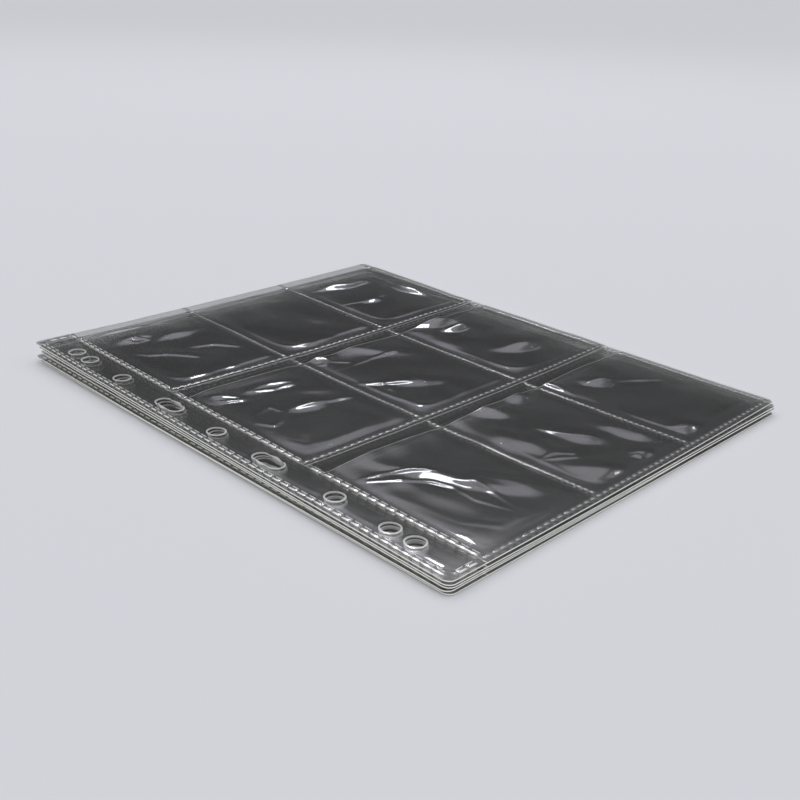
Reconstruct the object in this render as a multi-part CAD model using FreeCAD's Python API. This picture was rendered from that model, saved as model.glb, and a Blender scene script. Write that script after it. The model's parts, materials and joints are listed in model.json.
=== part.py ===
"""A loose stack of clear coin album pages, as refills for a ring album.

Each page is welded from clear soft PVC film: one full back film, a binding strip with nine
ring holes along one long edge, and three pocket rows, each of them one front film that
is welded below, at both sides and at two seams and stays open along its top edge.

Frame: X runs across the page from the binding edge to the free edge, Y runs along the
binding edge towards the pocket mouths, +Z is up, and the origin is the centre of the
stack's bottom face. All lengths are in millimetres.
"""
import FreeCAD, Part
import os

# Driving dimensions of one page
PAGE_WIDTH = 200.0
PAGE_LENGTH = 250.0
CORNER_RADIUS = 3.0
FILM = 0.2

# The stack: curled pages hold each other apart, so each one has this much height
PAGE_COUNT = 5
PAGE_PITCH = 1.5

# Weld seams: a low ridge on the back film carries the front film, and a flat bead stands on top.
# Between the seams the films lie this ridge's height apart, which leaves the pockets open.
WELD_WIDTH = 2.4
RIDGE_HEIGHT = 0.05
BEAD_HEIGHT = 0.15
EDGE_TO_WELD = 2.5

# Pocket grid, right of the seam that closes the binding strip
BINDING_SEAM = 18.0
ROW_NAMES = ["bottom", "middle", "top"]
COLUMNS = 3
MOUTH_GAP = 8.5
SEAM_GAP = 0.1

# Ring holes in the binding strip, placed from the middle of the page's length
HOLE_FROM_EDGE = 9.0
HOLE_RADIUS = 3.25
ROUND_HOLES = [0.0, 66.0, 92.0, 103.0]
SLOT_FROM_MIDDLE = 31.0
SLOT_LENGTH = 14.0
SLOT_RADIUS = 3.0

BINDING_EDGE = -PAGE_WIDTH / 2
PAGE_BOTTOM = -PAGE_LENGTH / 2
ROW_PITCH = PAGE_LENGTH / len(ROW_NAMES)
COLUMN_PITCH = (PAGE_WIDTH - EDGE_TO_WELD - BINDING_SEAM) / COLUMNS
STRIP_WIDTH = BINDING_SEAM - WELD_WIDTH / 2 - SEAM_GAP
ROW_LEFT = STRIP_WIDTH + SEAM_GAP
EDGE_TO_BEAD = EDGE_TO_WELD - WELD_WIDTH / 2


def box(x_low, x_high, y_low, y_high, z_low, height):
    """A flat plate between two corners, in page coordinates from the binding corner."""
    corner = FreeCAD.Vector(BINDING_EDGE + x_low, PAGE_BOTTOM + y_low, z_low)
    return Part.makeBox(x_high - x_low, y_high - y_low, height, corner)


def round_corners(plate, corners):
    """Rounds the upright edges of a plate that stand at the given page corners."""
    places = [(BINDING_EDGE + x, PAGE_BOTTOM + y) for x, y in corners]
    edges = []
    for edge in plate.Edges:
        ends = [vertex.Point for vertex in edge.Vertexes]
        upright = abs(ends[0].x - ends[1].x) + abs(ends[0].y - ends[1].y) < 1e-6
        at_corner = any(abs(ends[0].x - x) + abs(ends[0].y - y) < 1e-6 for x, y in places)
        if upright and at_corner:
            edges.append(edge)
    return plate.makeFillet(CORNER_RADIUS, edges)


def round_hole(from_middle, z_low, height):
    """The punch of one round ring hole."""
    centre = FreeCAD.Vector(BINDING_EDGE + HOLE_FROM_EDGE, from_middle, z_low)
    return Part.makeCylinder(HOLE_RADIUS, height, centre)


def slot_hole(from_middle, z_low, height):
    """The punch of one ring slot, which runs along the strip."""
    x_middle = BINDING_EDGE + HOLE_FROM_EDGE
    half_run = SLOT_LENGTH / 2 - SLOT_RADIUS
    low = FreeCAD.Vector(x_middle, from_middle - half_run, z_low)
    high = FreeCAD.Vector(x_middle, from_middle + half_run, z_low)
    start = FreeCAD.Vector(x_middle - SLOT_RADIUS, from_middle - half_run, z_low)
    middle = Part.makeBox(2 * SLOT_RADIUS, 2 * half_run, height, start)
    ends = [Part.makeCylinder(SLOT_RADIUS, height, end) for end in (low, high)]
    return middle.fuse(ends).removeSplitter()


def ring_holes(z_low, height):
    """All nine punches, alike on both sides of the middle of the page."""
    places = sorted({side * hole for hole in ROUND_HOLES for side in (-1, 1)})
    punches = [round_hole(place, z_low, height) for place in places]
    punches += [slot_hole(side * SLOT_FROM_MIDDLE, z_low, height) for side in (-1, 1)]
    return punches


def strip_welds():
    """The strip's welds along its three outer edges, as (x_low, x_high, y_low, y_high)."""
    far = PAGE_LENGTH - EDGE_TO_BEAD
    return [
        (EDGE_TO_BEAD, EDGE_TO_BEAD + WELD_WIDTH, EDGE_TO_BEAD, far),
        (EDGE_TO_BEAD, STRIP_WIDTH, EDGE_TO_BEAD, EDGE_TO_BEAD + WELD_WIDTH),
        (EDGE_TO_BEAD, STRIP_WIDTH, far - WELD_WIDTH, far),
    ]


def row_welds(row):
    """One row's welds: along its lower edge and up its four seams, none along the mouths."""
    low = row * ROW_PITCH + EDGE_TO_BEAD
    high = (row + 1) * ROW_PITCH - MOUTH_GAP
    half = WELD_WIDTH / 2
    seams = [BINDING_SEAM + column * COLUMN_PITCH for column in range(COLUMNS + 1)]
    welds = [(ROW_LEFT, seams[-1] + half, low, low + WELD_WIDTH)]
    return welds + [(seam - half, seam + half, low, high) for seam in seams]


def raise_welds(film, welds, height):
    """Raises the welds on a flat film's upper face."""
    z_top = film.BoundBox.ZMax
    bars = [box(*weld, z_top - FILM / 2, FILM / 2 + height) for weld in welds]
    return film.fuse(bars).removeSplitter()


def back_film(z_low):
    """The full-size back film with its round corners, weld ridges and ring holes."""
    plate = box(0, PAGE_WIDTH, 0, PAGE_LENGTH, z_low, FILM)
    corners = [(x, y) for x in (0, PAGE_WIDTH) for y in (0, PAGE_LENGTH)]
    welds = strip_welds()
    for row in range(len(ROW_NAMES)):
        welds += row_welds(row)
    film = raise_welds(round_corners(plate, corners), welds, RIDGE_HEIGHT)
    return film.cut(ring_holes(z_low, FILM))


def binding_strip(z_low):
    """The strip that doubles the film at the ring holes."""
    plate = box(0, STRIP_WIDTH, 0, PAGE_LENGTH, z_low, FILM)
    strip = round_corners(plate, [(0, 0), (0, PAGE_LENGTH)])
    return raise_welds(strip, strip_welds(), BEAD_HEIGHT).cut(ring_holes(z_low, FILM))


def row_film(row, z_low):
    """The front film of one pocket row, whose upper edge is the pockets' mouth."""
    low = row * ROW_PITCH
    film = box(ROW_LEFT, PAGE_WIDTH, low, low + ROW_PITCH - MOUTH_GAP, z_low, FILM)
    if row == 0:
        film = round_corners(film, [(PAGE_WIDTH, 0)])
    return raise_welds(film, row_welds(row), BEAD_HEIGHT)


def page_films(number):
    """Every film of one page of the stack, as node name and solid."""
    z_back = (number - 1) * PAGE_PITCH
    z_front = z_back + FILM + RIDGE_HEIGHT
    films = {"back_film": back_film(z_back), "binding_strip": binding_strip(z_front)}
    for row, name in enumerate(ROW_NAMES):
        films[name + "_row_film"] = row_film(row, z_front)
    return {f"page_{number}_{name}": film for name, film in films.items()}


os.makedirs("parts", exist_ok=True)
for page in range(1, PAGE_COUNT + 1):
    for node, solid in page_films(page).items():
        assert solid.isValid() and len(solid.Solids) == 1, node
        solid.Solids[0].exportStep(f"parts/{node}.step")
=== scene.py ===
import json
import math

import bpy
import numpy as np
from mathutils import Matrix, Vector
from mathutils.geometry import delaunay_2d_cdt

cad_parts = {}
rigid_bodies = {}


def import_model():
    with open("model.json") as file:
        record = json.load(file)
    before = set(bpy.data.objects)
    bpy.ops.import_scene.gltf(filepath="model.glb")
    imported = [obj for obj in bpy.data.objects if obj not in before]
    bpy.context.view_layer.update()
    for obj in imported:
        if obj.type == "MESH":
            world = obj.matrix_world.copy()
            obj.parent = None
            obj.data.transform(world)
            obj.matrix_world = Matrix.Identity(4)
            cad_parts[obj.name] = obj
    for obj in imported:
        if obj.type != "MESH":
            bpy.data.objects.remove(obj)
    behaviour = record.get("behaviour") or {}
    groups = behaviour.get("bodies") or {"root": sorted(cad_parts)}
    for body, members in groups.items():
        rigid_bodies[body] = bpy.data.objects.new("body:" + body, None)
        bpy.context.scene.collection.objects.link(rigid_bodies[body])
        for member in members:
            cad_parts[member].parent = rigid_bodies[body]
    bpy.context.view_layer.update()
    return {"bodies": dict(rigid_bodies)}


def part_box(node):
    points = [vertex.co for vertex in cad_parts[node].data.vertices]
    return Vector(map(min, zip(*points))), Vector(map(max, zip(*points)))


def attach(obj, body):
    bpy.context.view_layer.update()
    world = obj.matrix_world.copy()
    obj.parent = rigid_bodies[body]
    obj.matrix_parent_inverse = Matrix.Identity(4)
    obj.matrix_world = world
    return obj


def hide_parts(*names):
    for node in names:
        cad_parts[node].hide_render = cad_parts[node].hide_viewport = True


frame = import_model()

# ---------------------------------------------------------------------------
# The viewer sits at the corner where the binding edge meets the page bottom
# and looks along the page's diagonal, a little above the table.
# ---------------------------------------------------------------------------
MM = 0.001
VIEWER = Vector((-283.4, -282.5, 163.1)) * MM
VIEW_AZIMUTH = math.radians(-45.64)
VIEW_ELEVATION = math.radians(22.95)
VIEW_ROLL = math.radians(1.9)
LENS = 45.0


def viewer_axes(azimuth, elevation, roll):
    """The camera's right, up and backward directions."""
    back = Vector((
        math.sin(azimuth) * math.cos(elevation),
        -math.cos(azimuth) * math.cos(elevation),
        math.sin(elevation),
    ))
    level = Vector((0, 0, 1)).cross(back).normalized()
    upright = back.cross(level)
    right = level * math.cos(roll) + upright * math.sin(roll)
    return right, back.cross(right), back


camera_data = bpy.data.cameras.new("viewer")
camera_data.lens = LENS
camera_data.sensor_width = 36.0
camera_data.clip_start = 0.01
camera_data.clip_end = 100.0
camera = bpy.data.objects.new("viewer", camera_data)
bpy.context.scene.collection.objects.link(camera)
turn = Matrix(viewer_axes(VIEW_AZIMUTH, VIEW_ELEVATION, VIEW_ROLL)).transposed()
camera.matrix_world = Matrix.Translation(VIEWER) @ turn.to_4x4()
bpy.context.scene.camera = camera

# ---------------------------------------------------------------------------
# The table is a plain pale sheet in a studio. A soft dome lights it evenly,
# and a few window-shaped boxes draw the wrinkles of the glossy film.
# ---------------------------------------------------------------------------
FLOOR_HALF = 30.0
FLOOR_COLOUR = (0.60, 0.605, 0.615, 1)
FLOOR_DROP = 0.00012
DOME_LOW = (0.05, 0.05, 0.055, 1)
DOME_MIDDLE = (0.20, 0.20, 0.22, 1)
DOME_HIGH = (0.85, 0.86, 0.90, 1)
# Soft glows on the dome: heading, height, inner and outer half-angle in degrees, and strength
GLOWS = [(44, 47, 4, 20, 1.1), (-8, 36, 4, 16, 0.8), (98, 42, 4, 16, 0.8)]
GLOWS += [(315, 42, 4, 20, 0.8), (135, 34, 4, 20, 0.8)]
GLOW_COLOUR = (0.91, 0.88, 1.0)
BACKDROP = (0.60, 0.607, 0.648, 1)


def shader_tree(name):
    """A new material with an empty node tree and its output node."""
    material = bpy.data.materials.new(name)
    material.use_nodes = True
    tree = material.node_tree
    tree.nodes.clear()
    return material, tree, tree.nodes.new("ShaderNodeOutputMaterial")


def floor_material():
    """Matt pale card with a barely visible mottle."""
    material, tree, out = shader_tree("pale_card")
    card = tree.nodes.new("ShaderNodeBsdfPrincipled")
    card.inputs["Roughness"].default_value = 0.8
    card.inputs["Specular IOR Level"].default_value = 0.0
    mottle = tree.nodes.new("ShaderNodeTexNoise")
    mottle.inputs["Scale"].default_value = 6.0
    mottle.inputs["Detail"].default_value = 4.0
    shade = tree.nodes.new("ShaderNodeValToRGB")
    shade.color_ramp.elements[0].color = [c * 0.97 for c in FLOOR_COLOUR[:3]] + [1]
    shade.color_ramp.elements[1].color = FLOOR_COLOUR
    tree.links.new(mottle.outputs["Fac"], shade.inputs["Fac"])
    tree.links.new(shade.outputs["Color"], card.inputs["Base Color"])
    tree.links.new(card.outputs["BSDF"], out.inputs["Surface"])
    return material


floor_mesh = bpy.data.meshes.new("table_top")
corners = [(-1, -1), (1, -1), (1, 1), (-1, 1)]
floor_points = [(x * FLOOR_HALF, y * FLOOR_HALF, -FLOOR_DROP) for x, y in corners]
floor_mesh.from_pydata(floor_points, [], [(0, 1, 2, 3)])
floor_mesh.materials.append(floor_material())
table_top = bpy.data.objects.new("table_top", floor_mesh)
bpy.context.scene.collection.objects.link(table_top)


def way_to(heading, height):
    """Unit vector from the stack to a lamp. heading 0 is +Y and 90 is +X, both angles in degrees."""
    h, e = math.radians(heading), math.radians(height)
    return Vector((math.sin(h) * math.cos(e), math.cos(h) * math.cos(e), math.sin(e)))


def studio_dome():
    """A dome that is dim at table level and bright overhead, in front of a plain pale backdrop."""
    world = bpy.data.worlds.new("studio")
    world.use_nodes = True
    nodes, link = world.node_tree.nodes, world.node_tree.links.new
    nodes.clear()
    out = nodes.new("ShaderNodeOutputWorld")
    place = nodes.new("ShaderNodeTexCoord")
    split = nodes.new("ShaderNodeSeparateXYZ")
    ramp = nodes.new("ShaderNodeValToRGB")
    ramp.color_ramp.elements[0].position = 0.36
    ramp.color_ramp.elements[0].color = DOME_LOW
    ramp.color_ramp.elements[1].position = 0.95
    ramp.color_ramp.elements[1].color = DOME_HIGH
    middle = ramp.color_ramp.elements.new(0.66)
    middle.color = DOME_MIDDLE
    dome = nodes.new("ShaderNodeBackground")
    light = ramp.outputs["Color"]
    for heading, height, inner, outer, strength in GLOWS:
        near = nodes.new("ShaderNodeVectorMath")
        near.operation = "DOT_PRODUCT"
        near.inputs[1].default_value = way_to(heading, height)
        fall = nodes.new("ShaderNodeMapRange")
        fall.interpolation_type = "SMOOTHSTEP"
        fall.inputs["From Min"].default_value = math.cos(math.radians(outer))
        fall.inputs["From Max"].default_value = math.cos(math.radians(inner))
        fall.inputs["To Max"].default_value = strength
        glow = nodes.new("ShaderNodeVectorMath")
        glow.operation = "SCALE"
        glow.inputs[0].default_value = GLOW_COLOUR
        both = nodes.new("ShaderNodeVectorMath")
        both.operation = "ADD"
        link(place.outputs["Generated"], near.inputs[0])
        link(near.outputs["Value"], fall.inputs["Value"])
        link(fall.outputs["Result"], glow.inputs["Scale"])
        link(light, both.inputs[0])
        link(glow.outputs["Vector"], both.inputs[1])
        light = both.outputs["Vector"]
    plain = nodes.new("ShaderNodeBackground")
    plain.inputs["Color"].default_value = BACKDROP
    path = nodes.new("ShaderNodeLightPath")
    pick = nodes.new("ShaderNodeMixShader")
    link(place.outputs["Generated"], split.inputs["Vector"])
    link(split.outputs["Z"], ramp.inputs["Fac"])
    link(light, dome.inputs["Color"])
    link(path.outputs["Is Camera Ray"], pick.inputs["Fac"])
    link(dome.outputs["Background"], pick.inputs[1])
    link(plain.outputs["Background"], pick.inputs[2])
    link(pick.outputs["Shader"], out.inputs["Surface"])
    return world


bpy.context.scene.world = studio_dome()


def soft_box(name, heading, height, distance, width, tall, watts, colour=(1, 1, 1)):
    """A soft box that faces the stack."""
    lamp = bpy.data.lights.new(name, "AREA")
    lamp.shape = "RECTANGLE"
    lamp.size = width
    lamp.size_y = tall
    lamp.energy = watts
    lamp.color = colour
    box = bpy.data.objects.new(name, lamp)
    bpy.context.scene.collection.objects.link(box)
    way = way_to(heading, height)
    box.location = way * distance
    box.rotation_mode = "QUATERNION"
    box.rotation_quaternion = way.to_track_quat("Z", "Y")
    return box


COOL = (0.95, 0.95, 1.0)
# A wide soft light overhead, turned off for reflections, which keeps the table pale
overhead = bpy.data.lights.new("overhead", "SUN")
overhead.energy = 1.55
overhead.angle = math.radians(70)
overhead.color = (0.97, 0.975, 1.0)
overhead_lamp = bpy.data.objects.new("overhead", overhead)
overhead_lamp.visible_glossy = False
bpy.context.scene.collection.objects.link(overhead_lamp)
soft_box("back_window", 44, 44, 2.4, 0.30, 0.34, 3.6, COOL)
soft_box("left_window", -12, 37, 2.4, 0.16, 0.40, 1.2, COOL)
soft_box("right_window", 100, 38, 2.4, 0.16, 0.40, 1.2, COOL)
soft_box("far_left_window", 315, 40, 2.4, 0.24, 0.34, 1.8, COOL)
soft_box("far_right_window", 135, 32, 2.4, 0.24, 0.34, 1.8, COOL)

# Many clear films lie over each other, so light may pass through all of them.
bpy.context.scene.cycles.transparent_max_bounces = 96
bpy.context.scene.cycles.max_bounces = 16
bpy.context.scene.cycles.glossy_bounces = 10
bpy.context.scene.view_settings.view_transform = "Standard"

# ---------------------------------------------------------------------------
# How the loose pages lie. Each one is soft film with a slight curl, so the
# stack is thin at the near corner and springs open towards the far ones.
# Lengths here are millimetres from the page's binding and bottom edges.
# ---------------------------------------------------------------------------
page_low, page_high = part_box("page_1_back_film")
PAGE_WIDTH = (page_high.x - page_low.x) / MM
PAGE_LENGTH = (page_high.y - page_low.y) / MM
PAGES = [name for name in frame["bodies"]]
PAGE_COUNT = len(PAGES)
FILM = 0.2
TOP_CORNERS = {"near": 4.5, "right": 4.9, "left": 8.5, "far": 10.5}
SAG_ACROSS = -0.7
SAG_ALONG = -0.5
SAG_MIDDLE = -1.1
REST_ON_TABLE = 0.1
# Each page has slipped a little in the stack: its turn about the near corner in degrees,
# and its shift across and along
SLIPS = [(-0.22, 0.3, -0.2), (-0.06, -0.4, 0.1), (-0.40, 0.2, 0.0), (-0.30, -0.2, -0.3), (0, 0, 0)]


def bumps(x, y, rng, count, reach, height, area):
    """Gentle dents and swellings of soft film, each an oval at a random place and slant."""
    z = np.zeros_like(x)
    x_low, x_high, y_low, y_high = area
    for _ in range(count):
        centre_x = rng.uniform(x_low, x_high)
        centre_y = rng.uniform(y_low, y_high)
        slant = rng.uniform(0, math.pi)
        long = reach * rng.uniform(0.8, 2.0)
        short = reach * rng.uniform(0.35, 0.8)
        size = height * rng.uniform(-1, 1)
        along = (x - centre_x) * math.cos(slant) + (y - centre_y) * math.sin(slant)
        across = (y - centre_y) * math.cos(slant) - (x - centre_x) * math.sin(slant)
        z += size * np.exp(-((along / long) ** 2) - (across / short) ** 2)
    return z


def top_curl(x, y):
    """Height of the top page's underside above the table."""
    u, v = x / PAGE_WIDTH, y / PAGE_LENGTH
    near = TOP_CORNERS["near"] * (1 - u) + TOP_CORNERS["right"] * u
    far = TOP_CORNERS["left"] * (1 - u) + TOP_CORNERS["far"] * u
    sag = SAG_ACROSS * 4 * u * (1 - u) + SAG_ALONG * 4 * v * (1 - v)
    middle = SAG_MIDDLE * 16 * u * (1 - u) * v * (1 - v)
    return near * (1 - v) + far * v + sag + middle


def page_height(page, x, y):
    """Height of a page's underside above the table: the pages share out the top page's curl."""
    share = page / (PAGE_COUNT - 1)
    wander = 0.035 * np.sin(x / 31 + 2.1 * page) * np.sin(y / 43 + 1.3 * page)
    share = share + (wander if 0 < page < PAGE_COUNT - 1 else 0)
    rng = np.random.default_rng(100 + page)
    whole = (0, PAGE_WIDTH, 0, PAGE_LENGTH)
    dents = bumps(x, y, rng, 60, 14, 0.28 if page == PAGE_COUNT - 1 else 0.16, whole)
    lift = REST_ON_TABLE + np.clip(dents, 0, None) * (page == 0)
    return lift + share * top_curl(x, y) + dents * (page > 0)


def to_frame(page, x, y, z):
    """Page millimetres to metres in the frame, with the page's own slip in the stack."""
    turn_deg, shift_x, shift_y = SLIPS[page]
    c, s = math.cos(math.radians(turn_deg)), math.sin(math.radians(turn_deg))
    return np.stack([
        (x * c - y * s + shift_x - PAGE_WIDTH / 2) * MM,
        (x * s + y * c + shift_y - PAGE_LENGTH / 2) * MM,
        z * MM,
    ], 1)


# ---------------------------------------------------------------------------
# Soft clear PVC film, sold on a roll and cut with a knife. It is glossy, a
# little grey where many films lie together, and finely scuffed by handling.
# ---------------------------------------------------------------------------
def group_tree(name, inputs, outputs):
    """A shader node group with named value sockets."""
    group = bpy.data.node_groups.new(name, "ShaderNodeTree")
    for label, default in inputs:
        socket = group.interface.new_socket(label, in_out="INPUT", socket_type="NodeSocketFloat")
        socket.default_value = default
    for label, kind in outputs:
        group.interface.new_socket(label, in_out="OUTPUT", socket_type=kind)
    return group, group.nodes.new("NodeGroupInput"), group.nodes.new("NodeGroupOutput")


def film_handling_group():
    """Scuffs, dust and the faint waviness that rolled film keeps."""
    inputs = [("Roughness", 0.05), ("Scuffs", 0.05), ("Waviness", 0.3)]
    outputs = [("Roughness", "NodeSocketFloat"), ("Height", "NodeSocketFloat")]
    group, given, result = group_tree("film_handling", inputs, outputs)
    nodes, link = group.nodes, group.links.new
    place = nodes.new("ShaderNodeTexCoord")
    stretch = nodes.new("ShaderNodeMapping")
    stretch.inputs["Scale"].default_value = (900, 60, 60)
    stretch.inputs["Rotation"].default_value = (0, 0, 0.6)
    scratch = nodes.new("ShaderNodeTexNoise")
    scratch.inputs["Scale"].default_value = 1.0
    scratch.inputs["Detail"].default_value = 3.0
    pick = nodes.new("ShaderNodeMapRange")
    pick.inputs["From Min"].default_value = 0.60
    pick.inputs["From Max"].default_value = 0.78
    cloud = nodes.new("ShaderNodeTexNoise")
    cloud.inputs["Scale"].default_value = 45.0
    cloud.inputs["Detail"].default_value = 5.0
    both = nodes.new("ShaderNodeMath")
    both.operation = "MULTIPLY"
    scuffed = nodes.new("ShaderNodeMath")
    scuffed.operation = "MULTIPLY"
    total = nodes.new("ShaderNodeMath")
    total.operation = "ADD"
    wave = nodes.new("ShaderNodeTexNoise")
    wave.inputs["Scale"].default_value = 160.0
    wave.inputs["Detail"].default_value = 2.0
    tall = nodes.new("ShaderNodeMath")
    tall.operation = "MULTIPLY"
    link(place.outputs["Object"], stretch.inputs["Vector"])
    link(stretch.outputs["Vector"], scratch.inputs["Vector"])
    link(scratch.outputs["Fac"], pick.inputs["Value"])
    link(place.outputs["Object"], cloud.inputs["Vector"])
    link(pick.outputs["Result"], both.inputs[0])
    link(cloud.outputs["Fac"], both.inputs[1])
    link(both.outputs["Value"], scuffed.inputs[0])
    link(given.outputs["Scuffs"], scuffed.inputs[1])
    link(scuffed.outputs["Value"], total.inputs[0])
    link(given.outputs["Roughness"], total.inputs[1])
    link(place.outputs["Object"], wave.inputs["Vector"])
    link(wave.outputs["Fac"], tall.inputs[0])
    link(given.outputs["Waviness"], tall.inputs[1])
    link(total.outputs["Value"], result.inputs["Roughness"])
    link(tall.outputs["Value"], result.inputs["Height"])
    return group


FILM_HANDLING = film_handling_group()


def clear_material(name, tint, milk, haze, scuffs, waviness, gloss_roughness, gloss, glow=0):
    """Film that mirrors by its angle, tints what is behind it, and is milky by its haze.

    glow is painted light: an emission strength that makes the film's cut edges and weld lines give light
    of their own, standing in for the light that the film carries to them.
    """
    material, tree, out = shader_tree(name)
    nodes, link = tree.nodes, tree.links.new
    see_through = nodes.new("ShaderNodeBsdfTransparent")
    see_through.inputs["Color"].default_value = tint
    body = nodes.new("ShaderNodeBsdfPrincipled")
    body.inputs["Base Color"].default_value = milk
    body.inputs["Roughness"].default_value = 0.4
    # Painted light: the body emits its milky colour at the glow strength, so edges and weld lines glow
    # though they are no lamp.
    body.inputs["Emission Color"].default_value = milk
    body.inputs["Emission Strength"].default_value = glow
    mirror = nodes.new("ShaderNodeBsdfGlossy")
    mirror.inputs["Roughness"].default_value = gloss_roughness
    fresnel = nodes.new("ShaderNodeFresnel")
    fresnel.inputs["IOR"].default_value = 1.5
    face = nodes.new("ShaderNodeNewGeometry")
    outside = nodes.new("ShaderNodeMath")
    outside.operation = "SUBTRACT"
    outside.inputs[0].default_value = 1.0
    both_faces = nodes.new("ShaderNodeMath")
    both_faces.operation = "MULTIPLY"
    both_faces.inputs[1].default_value = gloss
    share = nodes.new("ShaderNodeMath")
    share.operation = "MULTIPLY"
    share.use_clamp = True
    hazy = nodes.new("ShaderNodeMixShader")
    hazy.inputs["Fac"].default_value = haze
    shiny = nodes.new("ShaderNodeMixShader")
    if waviness:
        handling = nodes.new("ShaderNodeGroup")
        handling.node_tree = FILM_HANDLING
        handling.inputs["Roughness"].default_value = gloss_roughness
        handling.inputs["Scuffs"].default_value = scuffs
        handling.inputs["Waviness"].default_value = waviness
        bump = nodes.new("ShaderNodeBump")
        bump.inputs["Strength"].default_value = 0.25
        bump.inputs["Distance"].default_value = 0.0002
        link(handling.outputs["Roughness"], mirror.inputs["Roughness"])
        link(handling.outputs["Height"], bump.inputs["Height"])
        link(bump.outputs["Normal"], mirror.inputs["Normal"])
        link(bump.outputs["Normal"], fresnel.inputs["Normal"])
    link(face.outputs["Backfacing"], outside.inputs[1])
    link(fresnel.outputs["Fac"], both_faces.inputs[0])
    link(both_faces.outputs["Value"], share.inputs[0])
    link(outside.outputs["Value"], share.inputs[1])
    link(see_through.outputs["BSDF"], hazy.inputs[1])
    link(body.outputs["BSDF"], hazy.inputs[2])
    link(share.outputs["Value"], shiny.inputs["Fac"])
    link(hazy.outputs["Shader"], shiny.inputs[1])
    link(mirror.outputs["BSDF"], shiny.inputs[2])
    link(shiny.outputs["Shader"], out.inputs["Surface"])
    return material


MILK = (0.78, 0.79, 0.77, 1)
BACK_TINT = (0.905, 0.907, 0.900, 1)
FRONT_TINT = (0.962, 0.963, 0.958, 1)
# The weld and edge colours are the milky colour of hazy weld and cut plastic, and also the colour of the
# painted glow that the edges, weld lines and weld ticks emit.
WELD_MILK_AND_GLOW = (0.88, 0.88, 0.86, 1)
EDGE_MILK_AND_GLOW = (0.93, 0.92, 0.88, 1)
BACK_FILM = clear_material("back_film", BACK_TINT, MILK, 0.008, 0.25, 0.25, 0.04, 1.8)
FRONT_FILM = clear_material("front_film", FRONT_TINT, MILK, 0.008, 0.25, 0.25, 0.04, 1.8)
# Painted light: the last number of the cut, inner and buried edges and of the weld lines and ticks is a
# glow they emit, standing in for light piped along the film. The buried edge is a dimmer copy of the inner
# edge, painted shade for the lower pages.
CUT_EDGE = clear_material("cut_edge", EDGE_MILK_AND_GLOW, EDGE_MILK_AND_GLOW, 0.85, 0, 0, 0.2, 1.5, 0.32)
INNER_EDGE = clear_material("inner_edge", FRONT_TINT, EDGE_MILK_AND_GLOW, 0.6, 0, 0, 0.2, 1.5, 0.16)
SHADED_BURIED_EDGE = clear_material("shaded_buried_edge", FRONT_TINT, EDGE_MILK_AND_GLOW, 0.22, 0, 0, 0.2, 1.2, 0.05)
WELD_BAR = clear_material("weld_bar", FRONT_TINT, WELD_MILK_AND_GLOW, 0.03, 0.2, 1.0, 0.10, 1.6)
WELD_LINE = clear_material("weld_line", FRONT_TINT, WELD_MILK_AND_GLOW, 0.58, 0, 0, 0.12, 1.8, 0.16)
WELD_TICK = clear_material("weld_tick", FRONT_TINT, WELD_MILK_AND_GLOW, 0.40, 0, 0, 0.12, 1.8, 0.05)
FINISHES = [FRONT_FILM, CUT_EDGE, INNER_EDGE, WELD_BAR, WELD_LINE, WELD_TICK]

# ---------------------------------------------------------------------------
# A film is a flat pattern cut from the roll: an outline with round corners
# and any ring holes. The pattern is laid out once and used for every page.
# ---------------------------------------------------------------------------
GRAIN = 1.6
HOLE_STEPS = 32
LIP_WIDTH = 0.6


def rounded_outline(x_low, x_high, y_low, y_high, radii):
    """Outline points, counter-clockwise from the low corner, with a radius for each corner."""
    corners = [(x_low, y_low, 180), (x_high, y_low, 270), (x_high, y_high, 0), (x_low, y_high, 90)]
    turning = []
    for (x, y, start), radius in zip(corners, radii):
        centre_x = x + (radius if x == x_low else -radius)
        centre_y = y + (radius if y == y_low else -radius)
        for step in range(7 if radius else 1):
            angle = math.radians(start + step * 15)
            turning.append((centre_x + radius * math.cos(angle), centre_y + radius * math.sin(angle)))
    points = []
    for here, there in zip(turning, turning[1:] + turning[:1]):
        pieces = max(1, round(math.dist(here, there) / GRAIN))
        for step in range(pieces):
            t = step / pieces
            points.append((here[0] + (there[0] - here[0]) * t, here[1] + (there[1] - here[1]) * t))
    return points


def hole_outline(x, y, radius, half_run):
    """A round hole, or with half_run a slot along Y."""
    points = []
    for step in range(HOLE_STEPS):
        angle = 2 * math.pi * (step + 0.5) / HOLE_STEPS
        shift = math.copysign(half_run, math.sin(angle))
        points.append((x + radius * math.cos(angle), y + shift + radius * math.sin(angle)))
    return points


def hole_distance(x, y, hole):
    """Distance to a hole's edge, below zero inside the hole."""
    centre_x, centre_y, radius, half_run = hole
    off_run = np.maximum(np.abs(y - centre_y) - half_run, 0)
    return np.hypot(x - centre_x, off_run) - radius


def grid_lines(low, high, seams, grain):
    """Lines across the film, closer together beside the seams, where the film bends sharply."""
    near = (0, 0.9, 1.6, 2.3, 3.0, 3.7, 4.4, 5.2, 6.0, 7.0, 8.1)
    fine = [seam + side * step for seam in seams for side in (-1, 1) for step in near[side < 0:]]
    plain = list(np.linspace(low, high, round((high - low) / grain) + 1)[1:-1])
    plain = [p for p in plain if all(abs(p - seam) > near[-1] + 0.8 for seam in seams)]
    return sorted(p for p in plain + fine if low + 0.6 < p < high - 0.6)


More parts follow.
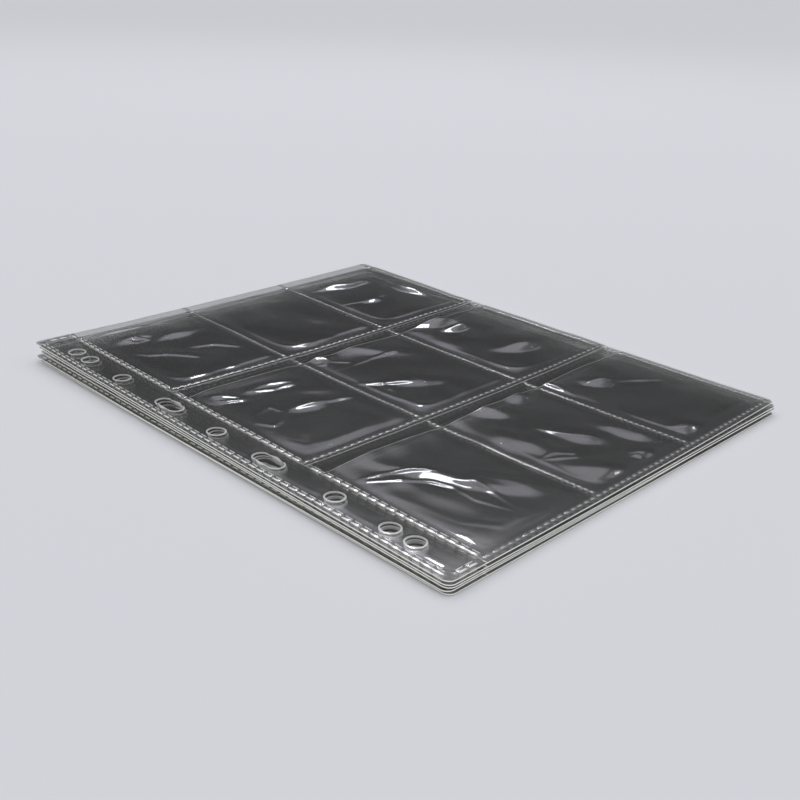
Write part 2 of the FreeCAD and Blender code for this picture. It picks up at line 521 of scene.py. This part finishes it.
def lay_out(bounds, radii, holes, seams_x, seams_y, grain=GRAIN):
    """The flat pattern of one film: its points and its triangles."""
    x_low, x_high, y_low, y_high = bounds
    loops = [rounded_outline(*bounds, radii)] + [hole_outline(*hole) for hole in holes]
    points, edges = [], []
    for loop in loops:
        start = len(points)
        points += loop
        count = len(loop)
        edges += [(start + i, start + (i + 1) % count) for i in range(count)]
    lines_x = grid_lines(x_low, x_high, seams_x, grain)
    lines_y = grid_lines(y_low, y_high, seams_y, grain)
    grid_x, grid_y = np.meshgrid(lines_x, lines_y)
    x, y = grid_x.ravel(), grid_y.ravel()
    keep = np.ones(len(x), bool)
    for hole_x, hole_y, radius, half_run in holes:
        points += hole_outline(hole_x, hole_y, radius + LIP_WIDTH, half_run)
    for corner_x in (x_low, x_high):
        for corner_y in (y_low, y_high):
            keep &= np.abs(x - corner_x) + np.abs(y - corner_y) > 1.6
    for hole in holes:
        keep &= hole_distance(x, y, hole) > LIP_WIDTH + 0.4
    points += list(zip(x[keep], y[keep]))
    flat = [Vector((float(a), float(b))) for a, b in points]
    verts, _, tris, _, _, _ = delaunay_2d_cdt(flat, edges, [], 0, 1e-5)
    pattern = np.array([(v.x, v.y) for v in verts])
    tris = np.array([t for t in tris if len(t) == 3])
    middle = pattern[tris].mean(1)
    inside = np.ones(len(tris), bool)
    for hole in holes:
        inside &= hole_distance(middle[:, 0], middle[:, 1], hole) > -0.02
    a, b, c = (pattern[tris[:, i]] for i in range(3))
    area = np.cross(b - a, c - a)
    tris[area < 0] = tris[area < 0][:, ::-1]
    inside &= np.abs(area) > 1e-4
    inside &= corner_clear(middle, bounds, radii)
    return pattern, tris[inside]


def corner_clear(middle, bounds, radii):
    """False for triangles outside a rounded corner."""
    x_low, x_high, y_low, y_high = bounds
    clear = np.ones(len(middle), bool)
    corners = [(x_low, y_low), (x_high, y_low), (x_high, y_high), (x_low, y_high)]
    for (x, y), radius in zip(corners, radii):
        in_x = radius - np.abs(middle[:, 0] - x)
        in_y = radius - np.abs(middle[:, 1] - y)
        cut = (in_x > 0) & (in_y > 0) & (np.hypot(in_x, in_y) > radius)
        clear &= ~cut
    return clear


def film_solid(page, pattern, tris, z):
    """A film of real thickness on its pattern: points, faces and each face's finish."""
    count = len(pattern)
    under = to_frame(page, pattern[:, 0], pattern[:, 1], z)
    over = to_frame(page, pattern[:, 0], pattern[:, 1], z + FILM)
    sides = np.concatenate([tris[:, [0, 1]], tris[:, [1, 2]], tris[:, [2, 0]]])
    key = np.sort(sides, 1)
    _, first, times = np.unique(key, axis=0, return_index=True, return_counts=True)
    rim = sides[first[times == 1]]
    faces = (tris + count).tolist() + tris[:, ::-1].tolist()
    faces += [(a, b, b + count, a + count) for a, b in rim.tolist()]
    x, y = pattern[rim].mean(1).T
    inset = np.min([x, PAGE_WIDTH - x, y, PAGE_LENGTH - y], axis=0)
    lip_x, lip_y = pattern[tris].mean(1).T
    # The faces of the punched lip round each ring hole take the weld tick finish: milky like bruised film,
    # with a faint painted glow.
    bruised_and_glowing = np.min([hole_distance(lip_x, lip_y, hole) for hole in RING_HOLES], axis=0) < LIP_WIDTH
    finish = np.where(bruised_and_glowing, 5, 0).tolist() + [0] * len(tris)
    # Rims on the page's outline take the cut edge finish and the others the inner edge finish; both glow
    # with painted light.
    finish += np.where(inset < 1.0, 1, 2).tolist()
    return np.concatenate([under, over]), faces, finish


# ---------------------------------------------------------------------------
# Welds. A hot bar with a milled face presses two films together along each
# seam. Beside the rings it leaves a ladder of cells, elsewhere short ticks.
# ---------------------------------------------------------------------------
WELD_WIDTH = 2.4
BAND_WIDTH = 2.3
BAND_HEIGHT = 0.06
# Each relief is its cells' pitch, run and width, their height, their bevel, their slant,
# and the finish of their flanks
# The flank finishes, weld line and weld tick, are milky and give a faint painted glow.
LADDER = (4.4, 3.6, 2.1, 0.15, 0.58, 0.0, 4)
TICKS = (3.6, 2.0, 1.0, 0.10, 0.26, 0.5, 5)
FINE_TICKS = (2.6, 1.4, 0.9, 0.10, 0.24, 0.5, 5)


UNDERSIDE = -0.5


def weld_mesh(page, start, end, height_of, relief, press=1):
    """Band and cells of one straight weld, laid on the film: points, faces and finishes.

    press is 1 above the film, and UNDERSIDE for the fainter print below it.
    """
    pitch, run, width, tall, bevel, slant, flank_finish = relief
    start, end = np.array(start, float), np.array(end, float)
    length = np.linalg.norm(end - start)
    way = (end - start) / length
    side = np.array([-way[1], way[0]])
    seam_points, faces, finish = [], [], []

    def add_ridge(stations, half_low, half_high, low, high, taper, lean, flank):
        """A closed low ridge through the stations, narrower at its top."""
        rows = []
        for number, at in enumerate(stations):
            inset = taper if number == 0 else -taper if number == len(stations) - 1 else 0
            rows.append(len(seam_points))
            for shift, half, lift in ((0, half_low, low), (inset, half_high, high)):
                seam_points.append((at + shift - lean * half, -half, lift))
                seam_points.append((at + shift + lean * half, half, lift))
        for a, b in zip(rows, rows[1:]):
            faces.extend([(a, a + 1, b + 1, b), (a + 2, b + 2, b + 3, a + 3)])
            faces.extend([(a, b, b + 2, a + 2), (a + 1, a + 3, b + 3, b + 1)])
            finish.extend([3, 3, flank, flank])
        first, last = rows[0], rows[-1]
        faces.append((first, first + 2, first + 3, first + 1))
        faces.append((last, last + 1, last + 3, last + 2))
        finish.extend([3, 3])

    stations = np.linspace(0, length, max(2, round(length / 1.8) + 1))
    add_ridge(stations, BAND_WIDTH / 2, BAND_WIDTH / 2 - 0.2, -0.02, BAND_HEIGHT, 0.1, 0, 3)
    cells = int(length // pitch)
    spare = (length - cells * pitch) / 2
    for cell in range(cells):
        at = spare + cell * pitch + (pitch - run) / 2
        half = width / 2
        top = BAND_HEIGHT + tall
        add_ridge([at, at + run], half, half - bevel, BAND_HEIGHT - 0.01, top, bevel, slant, flank_finish)
    along, across, lift = np.array(seam_points).T
    x = start[0] + way[0] * along + side[0] * across
    y = start[1] + way[1] * along + side[1] * across
    if press < 0:
        faces = [face[::-1] for face in faces]
    return to_frame(page, x, y, height_of(x, y) + press * lift), faces, finish


SHARP_TURN = math.radians(50)


def make_piece(name, parts, node, body, slot):
    """Joins the parts of one film to one object, which stands for its CAD node."""
    points = np.concatenate([part[0] for part in parts])
    faces, finish, start = [], [], 0
    for part_points, part_faces, part_finish in parts:
        faces += [tuple(i + start for i in face) for face in part_faces]
        finish += part_finish
        start += len(part_points)
    mesh = bpy.data.meshes.new(name)
    mesh.from_pydata(points.tolist(), [], faces)
    finishes = list(FINISHES)
    if slot == "back_film":
        finishes[0] = BACK_FILM
    # Lower pages take the dimmer copy of the inner edge: painted shade, with less glow and haze, for edges
    # that lie under the top page.
    if body != PAGES[-1]:
        finishes[2] = SHADED_BURIED_EDGE
    for material in finishes:
        mesh.materials.append(material)
    mesh.polygons.foreach_set("material_index", finish)
    mesh.polygons.foreach_set("use_smooth", [kind == 0 for kind in finish])
    mesh.update()
    mesh.set_sharp_from_angle(angle=SHARP_TURN)
    piece = bpy.data.objects.new(name, mesh)
    bpy.context.scene.collection.objects.link(piece)
    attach(piece, body)
    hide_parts(node)
    return piece


# ---------------------------------------------------------------------------
# Back films: one full-size sheet a page, with nine punched ring holes. Where
# the long seams cross from row to row, the weld goes into this film alone.
# ---------------------------------------------------------------------------
CORNER_RADIUS = 3.0
EDGE_TO_WELD = 2.5
BINDING_SEAM = 18.0
COLUMNS = 3
ROWS = ["bottom", "middle", "top"]
MOUTH_GAP = 8.5
ROW_PITCH = PAGE_LENGTH / len(ROWS)
COLUMN_PITCH = (PAGE_WIDTH - EDGE_TO_WELD - BINDING_SEAM) / COLUMNS
SEAMS = [BINDING_SEAM + column * COLUMN_PITCH for column in range(COLUMNS + 1)]
ROW_WELDS = [row * ROW_PITCH + EDGE_TO_WELD for row in range(len(ROWS))]
HOLE_FROM_EDGE = 9.0
ROUND_HOLES = [-103, -92, -66, 0, 66, 92, 103]
SLOTS = [-31, 31]
PAGE_MIDDLE = PAGE_LENGTH / 2
RING_HOLES = [(HOLE_FROM_EDGE, PAGE_MIDDLE + y, 3.25, 0) for y in ROUND_HOLES]
RING_HOLES += [(HOLE_FROM_EDGE, PAGE_MIDDLE + y, 3.0, 4.0) for y in SLOTS]

whole_page = (0, PAGE_WIDTH, 0, PAGE_LENGTH)


def hole_lip(x, y):
    """The punch leaves a low raised lip round each ring hole."""
    nearest = np.min([hole_distance(x, y, hole) for hole in RING_HOLES], axis=0)
    return 0.10 * np.exp(-((np.maximum(nearest, 0) / 0.8) ** 2))


back_pattern, back_tris = lay_out(whole_page, [CORNER_RADIUS] * 4, RING_HOLES, SEAMS, ROW_WELDS)

for page, body in enumerate(PAGES):
    x, y = back_pattern.T
    z = page_height(page, x, y) + hole_lip(x, y)
    parts = [film_solid(page, back_pattern, back_tris, z)]

    def back_face(x, y, page=page):
        return page_height(page, x, y) + FILM

    for row in range(len(ROWS)):
        gap_end = (row + 1) * ROW_PITCH
        for seam in SEAMS:
            start, end = (seam, gap_end - MOUTH_GAP + 0.3), (seam, gap_end - 0.3)
            relief = LADDER if seam == BINDING_SEAM else FINE_TICKS
            parts.append(weld_mesh(page, start, end, back_face, relief))

    def underside(x, y, page=page):
        return page_height(page, x, y)

    last, top_end = SEAMS[-1], PAGE_LENGTH - EDGE_TO_WELD
    prints = [((BINDING_SEAM, low), (last, low), TICKS) for low in ROW_WELDS]
    prints += [((seam, EDGE_TO_WELD + 1.2), (seam, top_end), FINE_TICKS) for seam in SEAMS[1:]]
    for side in (EDGE_TO_WELD, BINDING_SEAM):
        prints.append(((side, EDGE_TO_WELD + 1.2), (side, top_end - 1.2), LADDER))
    for end in (EDGE_TO_WELD, top_end):
        prints.append(((EDGE_TO_WELD + 1.5, end), (BINDING_SEAM - 1.5, end), LADDER))
    for start, end, relief in prints:
        parts.append(weld_mesh(page, start, end, underside, relief, UNDERSIDE))
    make_piece(f"{body}_back_sheet", parts, f"{body}_back_film", body, "back_film")

# ---------------------------------------------------------------------------
# Binding strips: a second film over the ring holes, which keeps the rings
# from tearing out. It is welded all round and lies slack between the holes.
# ---------------------------------------------------------------------------
STRIP_WIDTH = BINDING_SEAM - WELD_WIDTH / 2 - 0.1
strip_bounds = (0, STRIP_WIDTH, 0, PAGE_LENGTH)
strip_radii = [CORNER_RADIUS, 0, 0, CORNER_RADIUS]
strip_pattern, strip_tris = lay_out(strip_bounds, strip_radii, RING_HOLES, [EDGE_TO_WELD], [])


def rise(distance, reach):
    """0 at a weld, and 1 well away from it."""
    return 1 - np.exp(-((np.maximum(distance, 0) / reach) ** 2))


# Twice the height of the ring axis: a page that reaches no higher than this clears the
# table when it is turned over
TURN_LIMIT = 11.1


def fit_under(page, x, y, slack):
    """Lets a film's slack fill only the room under the next page, or under the turning limit."""
    if page == PAGE_COUNT - 1:
        room = np.maximum(TURN_LIMIT - page_height(page, x, y) - 2 * FILM, 0.1)
        return np.maximum(room - np.log1p(np.exp((room - slack) * 6)) / 6, 0.01)
    room = page_height(page + 1, x, y) - page_height(page, x, y) - 2 * FILM - 0.25
    room = np.maximum(room, 0.05)
    return room * (1 - np.exp(-np.maximum(slack, 0.01) / room))


def strip_slack(page, x, y):
    """Height of the strip over the back film: it bulges from hole to hole, most near its outer weld."""
    rng = np.random.default_rng(300 + page)
    middle = rise(x - EDGE_TO_WELD - 1, 3.0) * rise(STRIP_WIDTH - x, 3.0)
    ends = rise(y - EDGE_TO_WELD - 1, 2.5) * rise(PAGE_LENGTH - EDGE_TO_WELD - 1 - y, 2.5)
    stops = sorted(hole[1] for hole in RING_HOLES)
    swell = np.zeros_like(x)
    for near, far in zip([0] + stops, stops + [PAGE_LENGTH]):
        between = (y >= near) & (y < far)
        arch = np.sin(np.pi * np.clip((y - near) / (far - near), 0, 1)) ** 0.8
        wide = min(1, (far - near) / 30)
        crest = 7.2 - 2.6 * arch * wide
        ridge = np.exp(-(((x - crest) / 1.2) ** 2)) * 0.30 * arch
        swell = np.where(between, 0.16 * arch + ridge * wide + 0.08, swell)
    swell += np.clip(bumps(x, y, rng, 30, 9, 0.12, strip_bounds), -0.06, 1)
    nearest = np.min([hole_distance(x, y, hole) for hole in RING_HOLES], axis=0)
    held = 1 - 0.75 * np.exp(-((np.maximum(nearest, 0) / 2.2) ** 2))
    return fit_under(page, x, y, middle * ends * np.maximum(swell * held, 0.05)) + hole_lip(x, y)


for page, body in enumerate(PAGES):
    x, y = strip_pattern.T
    z = page_height(page, x, y) + FILM + strip_slack(page, x, y)
    parts = [film_solid(page, strip_pattern, strip_tris, z)]

    def strip_face(x, y, page=page):
        return page_height(page, x, y) + 2 * FILM + strip_slack(page, x, y)

    far = PAGE_LENGTH - EDGE_TO_WELD
    for start, end in [
        ((EDGE_TO_WELD, EDGE_TO_WELD), (EDGE_TO_WELD, far)),
        ((EDGE_TO_WELD + 1.5, EDGE_TO_WELD), (STRIP_WIDTH - 0.5, EDGE_TO_WELD)),
        ((EDGE_TO_WELD + 1.5, far), (STRIP_WIDTH - 0.5, far)),
    ]:
        parts.append(weld_mesh(page, start, end, strip_face, LADDER))
    make_piece(f"{body}_hole_strip", parts, f"{body}_binding_strip", body, "binding_film")

# ---------------------------------------------------------------------------
# Pocket rows: one slack front film across three pockets, welded below and up
# four seams. Its upper edge is free: it's the mouth where a coin goes in.
# ---------------------------------------------------------------------------
ROW_LEFT = STRIP_WIDTH + 0.1
TOP_GRAIN = 0.85


# Folds that the pockets of the top page have kept. Each is its height (below
# zero for a hollow), its half-width and the points that it runs through.
TOP_FOLDS = [
    (0.28, 1.0, [(21, 63), (31, 61), (42, 56.5), (49, 49), (52, 42), (51.5, 28), (49.5, 15)]),
    (0.24, 0.9, [(21, 62.5), (33.5, 53.5), (41, 46), (44, 38), (43, 27), (46.5, 15)]),
    (0.08, 1.5, [(20, 64), (22, 53), (26, 37), (28.5, 21), (35.5, 10), (51, 7), (66, 7)]),
    (0.26, 0.9, [(85, 32), (91, 32), (97, 26), (95, 24), (89, 28), (85, 31)]),
    (0.35, 1.2, [(104, 50), (106, 42), (109, 35), (115, 25)]),
    (0.20, 0.8, [(109.5, 12.5), (113, 10), (112, 6.5), (109, 8), (109.5, 12)]),
    (0.40, 1.5, [(155, 63), (162, 60.5), (173, 53), (184, 44)]),
    (0.30, 1.0, [(29, 127), (38, 130.5), (39, 123), (33, 117), (28, 115), (25, 121), (28.5, 127)]),
    (0.35, 1.2, [(45, 123), (58, 121), (71, 118)]),
    (0.26, 0.9, [(20.5, 152), (27, 151), (35, 144.5), (33, 142.5), (25, 145.5), (20.5, 151)]),
    (0.26, 0.9, [(40, 147.5), (51, 148.5), (61, 145), (59, 142.5), (49, 143), (40, 147)]),
    (0.30, 0.9, [(81, 157), (87.5, 159), (89, 154), (84, 151), (80.5, 153), (81, 157)]),
    (0.25, 0.9, [(89, 152), (96, 146)]),
    (0.30, 1.1, [(86, 143), (106, 144), (127, 142)]),
    (0.40, 1.4, [(79, 128), (89, 121), (100, 113)]),
    (0.30, 1.4, [(89, 121), (88, 112)]),
    (0.09, 1.5, [(20.5, 139), (21, 124), (22, 104), (27, 95), (40, 93.5), (60, 91), (73, 89.5)]),
    (0.35, 1.1, [(27, 240), (41, 239), (56, 238)]),
    (0.28, 0.9, [(31.5, 227), (37, 227), (41, 222.5), (35, 222), (31.5, 226)]),
    (0.38, 1.2, [(26.5, 211.5), (31, 206), (38, 202), (47, 192)]),
    (0.38, 1.2, [(50, 203), (61, 199.5), (69, 191)]),
    (0.30, 1.0, [(143, 205), (152, 203), (160, 204), (172, 202)]),
    # Wide hollows, where the film lies down on the back film
    (-0.32, 6.5, [(25, 54), (27, 36), (30, 18)]),
    (-0.28, 5.5, [(24, 106), (30, 97), (44, 96)]),
]
# Pockets of the top page, by row and column, whose shoulder is one of those folds
FOLDED_SHOULDERS = [(0, 0), (1, 0)]
# Dents of the top page. Each is its middle, its half-length and half-width, the
# direction of its length in degrees, and its depth against a full one.
TOP_DENTS = [
    (44, 48, 10, 2.6, -63, 1.0),
    (22.0, 9.5, 6, 0.8, -88, 1.4),
    (57, 30, 7, 3, -60, 0.52),
    (88, 44, 7, 2.6, -80, 0.36),
    (89, 12, 7, 3.5, -50, 0.48),
    (113, 10, 3, 2, -20, 0.5),
    (108, 37, 6, 2.5, -65, 0.52),
    (126, 26, 6, 2.5, -70, 0.5),
    (146, 11, 3.5, 2.5, 0, 0.55),
    (57, 78, 3.0, 2.0, 0, 0.6),
    (99, 73, 6, 2.5, -50, 0.3),
    (119, 73, 3.5, 2, 0, 0.5),
    (139.5, 70, 1.8, 6, 0, 1.3),
    (159, 61, 4, 2.2, -30, 0.55),
    (49, 121, 5, 2.4, 0, 0.56),
    (27, 147, 5, 2.0, -35, 0.5),
    (50, 145, 6, 2.0, -10, 0.5),
    (98, 114, 7, 2.6, -30, 0.5),
    (84, 156, 4, 2.2, 0, 0.5),
    (157, 157, 6, 2.2, -8, 0.52),
    (161, 145, 4, 1.6, -5, 1.0),
    (165, 110, 6, 2.6, -10, 0.5),
    (34, 172.5, 3.5, 1.3, 0, 0.95),
    (51, 172.5, 2, 1.1, 0, 0.7),
    (36, 225, 5, 2.4, 0, 0.5),
    (54, 219, 6, 2.4, 0, 0.5),
    (160, 226, 8, 1.8, -4, 1.0),
    (185, 197, 1.8, 5.5, 0, 0.97),
    (158, 200, 3, 1.3, 0, 0.75),
    (136, 201, 2.5, 3.5, 0, 0.5),
]
# Slope of a full dent at the near corner, and its change per millimetre across and along
DENT_SLOPE_ACROSS = (-0.110, -0.0016, 0.00097)
DENT_SLOPE_ALONG = (-0.018, 0.00098, -0.0016)
DENT_REACH = 2.0
# How far the mouths of the top page's pockets stand open, by row, and how far down that shows
MOUTH_GAPE = (1.0, 0.8, 0.3)
MOUTH_REACH = 9.0


def fold_height(x, y, fold):
    """A rounded fold that dies away at its ends."""
    height, half_width, run = fold
    run = np.array(run, float)
    steps = np.hypot(*np.diff(run, axis=0).T)
    reach = steps.sum()
    nearest = np.full_like(x, 1e9)
    along = np.zeros_like(x)
    done = 0
    for (a, b), step in zip(zip(run, run[1:]), steps):
        t = np.clip(((x - a[0]) * (b[0] - a[0]) + (y - a[1]) * (b[1] - a[1])) / step**2, 0, 1)
        distance = np.hypot(x - a[0] - t * (b[0] - a[0]), y - a[1] - t * (b[1] - a[1]))
        closer = distance < nearest
        nearest = np.where(closer, distance, nearest)
        along = np.where(closer, (done + t * step) / reach, along)
        done += step
    fade = 1 - 0.7 * np.abs(2 * along - 1) ** 3
    return height * fade * np.exp(-((nearest / half_width) ** 3))


def dent_height(x, y, dent):
    """An oval part of the film that leans one way, and eases back to level round it."""
    centre_x, centre_y, half_long, half_wide, slant, share = dent
    c, s = math.cos(math.radians(slant)), math.sin(math.radians(slant))
    off_x, off_y = x - centre_x, y - centre_y
    long = (off_x * c + off_y * s) / (half_long * DENT_REACH)
    wide = (off_y * c - off_x * s) / (half_wide * DENT_REACH)
    lean_x = np.dot(DENT_SLOPE_ACROSS, (1, centre_x, centre_y)) * share
    lean_y = np.dot(DENT_SLOPE_ALONG, (1, centre_x, centre_y)) * share
    lean_long, lean_wide = lean_x * c + lean_y * s, lean_y * c - lean_x * s
    lift = math.hypot(lean_long * half_long, lean_wide * half_wide) + 0.1
    return (lift - off_x * lean_x - off_y * lean_y) * np.exp(-((long**2 + wide**2) ** 2))


def shoulder(distance, offset, width, height):
    """The film climbs steeply off its weld to a narrow rounded shoulder."""
    climb = 1 - np.exp(-((np.maximum(distance - 1.1, 0) / (0.75 * offset)) ** 2))
    return 0.2 * climb + height * np.exp(-(((distance - offset) / width) ** 2)) * (distance > 0)


def pocket_slack(page, row, x, y):
    """Height of a row's front film over the back film."""
    low = ROW_WELDS[row]
    top = page == PAGE_COUNT - 1
    slack = np.zeros_like(x)
    kept = np.zeros_like(x)
    if top:
        for fold in TOP_FOLDS:
            if low - 5 < fold[2][0][1] < low + ROW_PITCH:
                kept = kept + fold_height(x, y, fold)
        ripple = np.random.default_rng(7 + row)
        row_area = (0, PAGE_WIDTH, low, low + ROW_PITCH)
        off_x = bumps(x, y, ripple, 70, 6, 1.6, row_area)
        off_y = bumps(x, y, ripple, 70, 6, 1.2, row_area)
        for dent in TOP_DENTS:
            if low - 5 < dent[1] < low + ROW_PITCH - 4:
                kept = kept + dent_height(x + off_x, y + off_y, dent)
    for column in range(COLUMNS):
        rng = np.random.default_rng(1000 + 100 * page + 10 * row + column)
        left, right = SEAMS[column], SEAMS[column + 1]
        area = (left, right, low, low + ROW_PITCH - MOUTH_GAP)
        here = (x >= left) & (x <= right)
        wander = bumps(x, y, rng, 8, 14, 1.6, area)
        off_left, off_right, off_low = x - left, right - x, y - low
        rounding = 4.5
        corner = -rounding * np.log(np.exp(-off_left / rounding) + np.exp(-off_low / rounding))
        offset = 5.6 + np.clip(wander, -1.6, 2.2)
        strength = rng.uniform(0.14, 0.24) * (0.5 + 0.5 * np.tanh((40 - off_low) / 12))
        strength = strength * (not (top and (row, column) in FOLDED_SHOULDERS))
        form = shoulder(corner, offset, 0.85, strength)
        inside = rise(off_left - 1.1, 4.0) * rise(off_right - 1.1, 4.0) * rise(off_low - 1.1, 3.5)
        swell = bumps(x, y, rng, 12, 10, 0.45 if top else 0.6, area)
        swell += bumps(x, y, rng, 10, 5, 0.12, area)
        if top:
            bow = np.sin(np.pi * np.clip(off_left / (right - left), 0, 1)) ** 1.5
            to_mouth = (low + ROW_PITCH - MOUTH_GAP - y) / MOUTH_REACH
            swell += MOUTH_GAPE[row] * bow * np.exp(-(to_mouth**2))
        level = form + inside * (0.2 + swell + kept)
        here_slack = inside * (0.03 + np.log1p(np.exp(level * 6)) / 6)
        slack = np.where(here, here_slack, slack)
    return fit_under(page, x, y, slack)


for row, row_name in enumerate(ROWS):
    low, high = row * ROW_PITCH, (row + 1) * ROW_PITCH - MOUTH_GAP
    row_bounds = (ROW_LEFT, PAGE_WIDTH, low, high)
    radii = [0, CORNER_RADIUS if row == 0 else 0, 0, 0]
    plain = lay_out(row_bounds, radii, [], SEAMS, [ROW_WELDS[row]])
    detailed = lay_out(row_bounds, radii, [], SEAMS, [ROW_WELDS[row]], TOP_GRAIN)
    for page, body in enumerate(PAGES):
        pattern, tris = detailed if page == PAGE_COUNT - 1 else plain
        x, y = pattern.T
        z = page_height(page, x, y) + FILM + pocket_slack(page, row, x, y)
        parts = [film_solid(page, pattern, tris, z)]

        def pocket_face(x, y, page=page, row=row):
            return page_height(page, x, y) + 2 * FILM + pocket_slack(page, row, x, y)

        weld_y = ROW_WELDS[row]
        ends = (ROW_LEFT + 0.2, weld_y), (SEAMS[-1] + 1.1, weld_y)
        parts.append(weld_mesh(page, *ends, pocket_face, TICKS))
        for seam in SEAMS:
            relief = LADDER if seam == BINDING_SEAM else FINE_TICKS
            run = (seam, weld_y + 1.2), (seam, high - 0.2)
            parts.append(weld_mesh(page, *run, pocket_face, relief))
        make_piece(f"{body}_{row_name}_pockets", parts, f"{body}_{row_name}_row_film", body, "pocket_film")
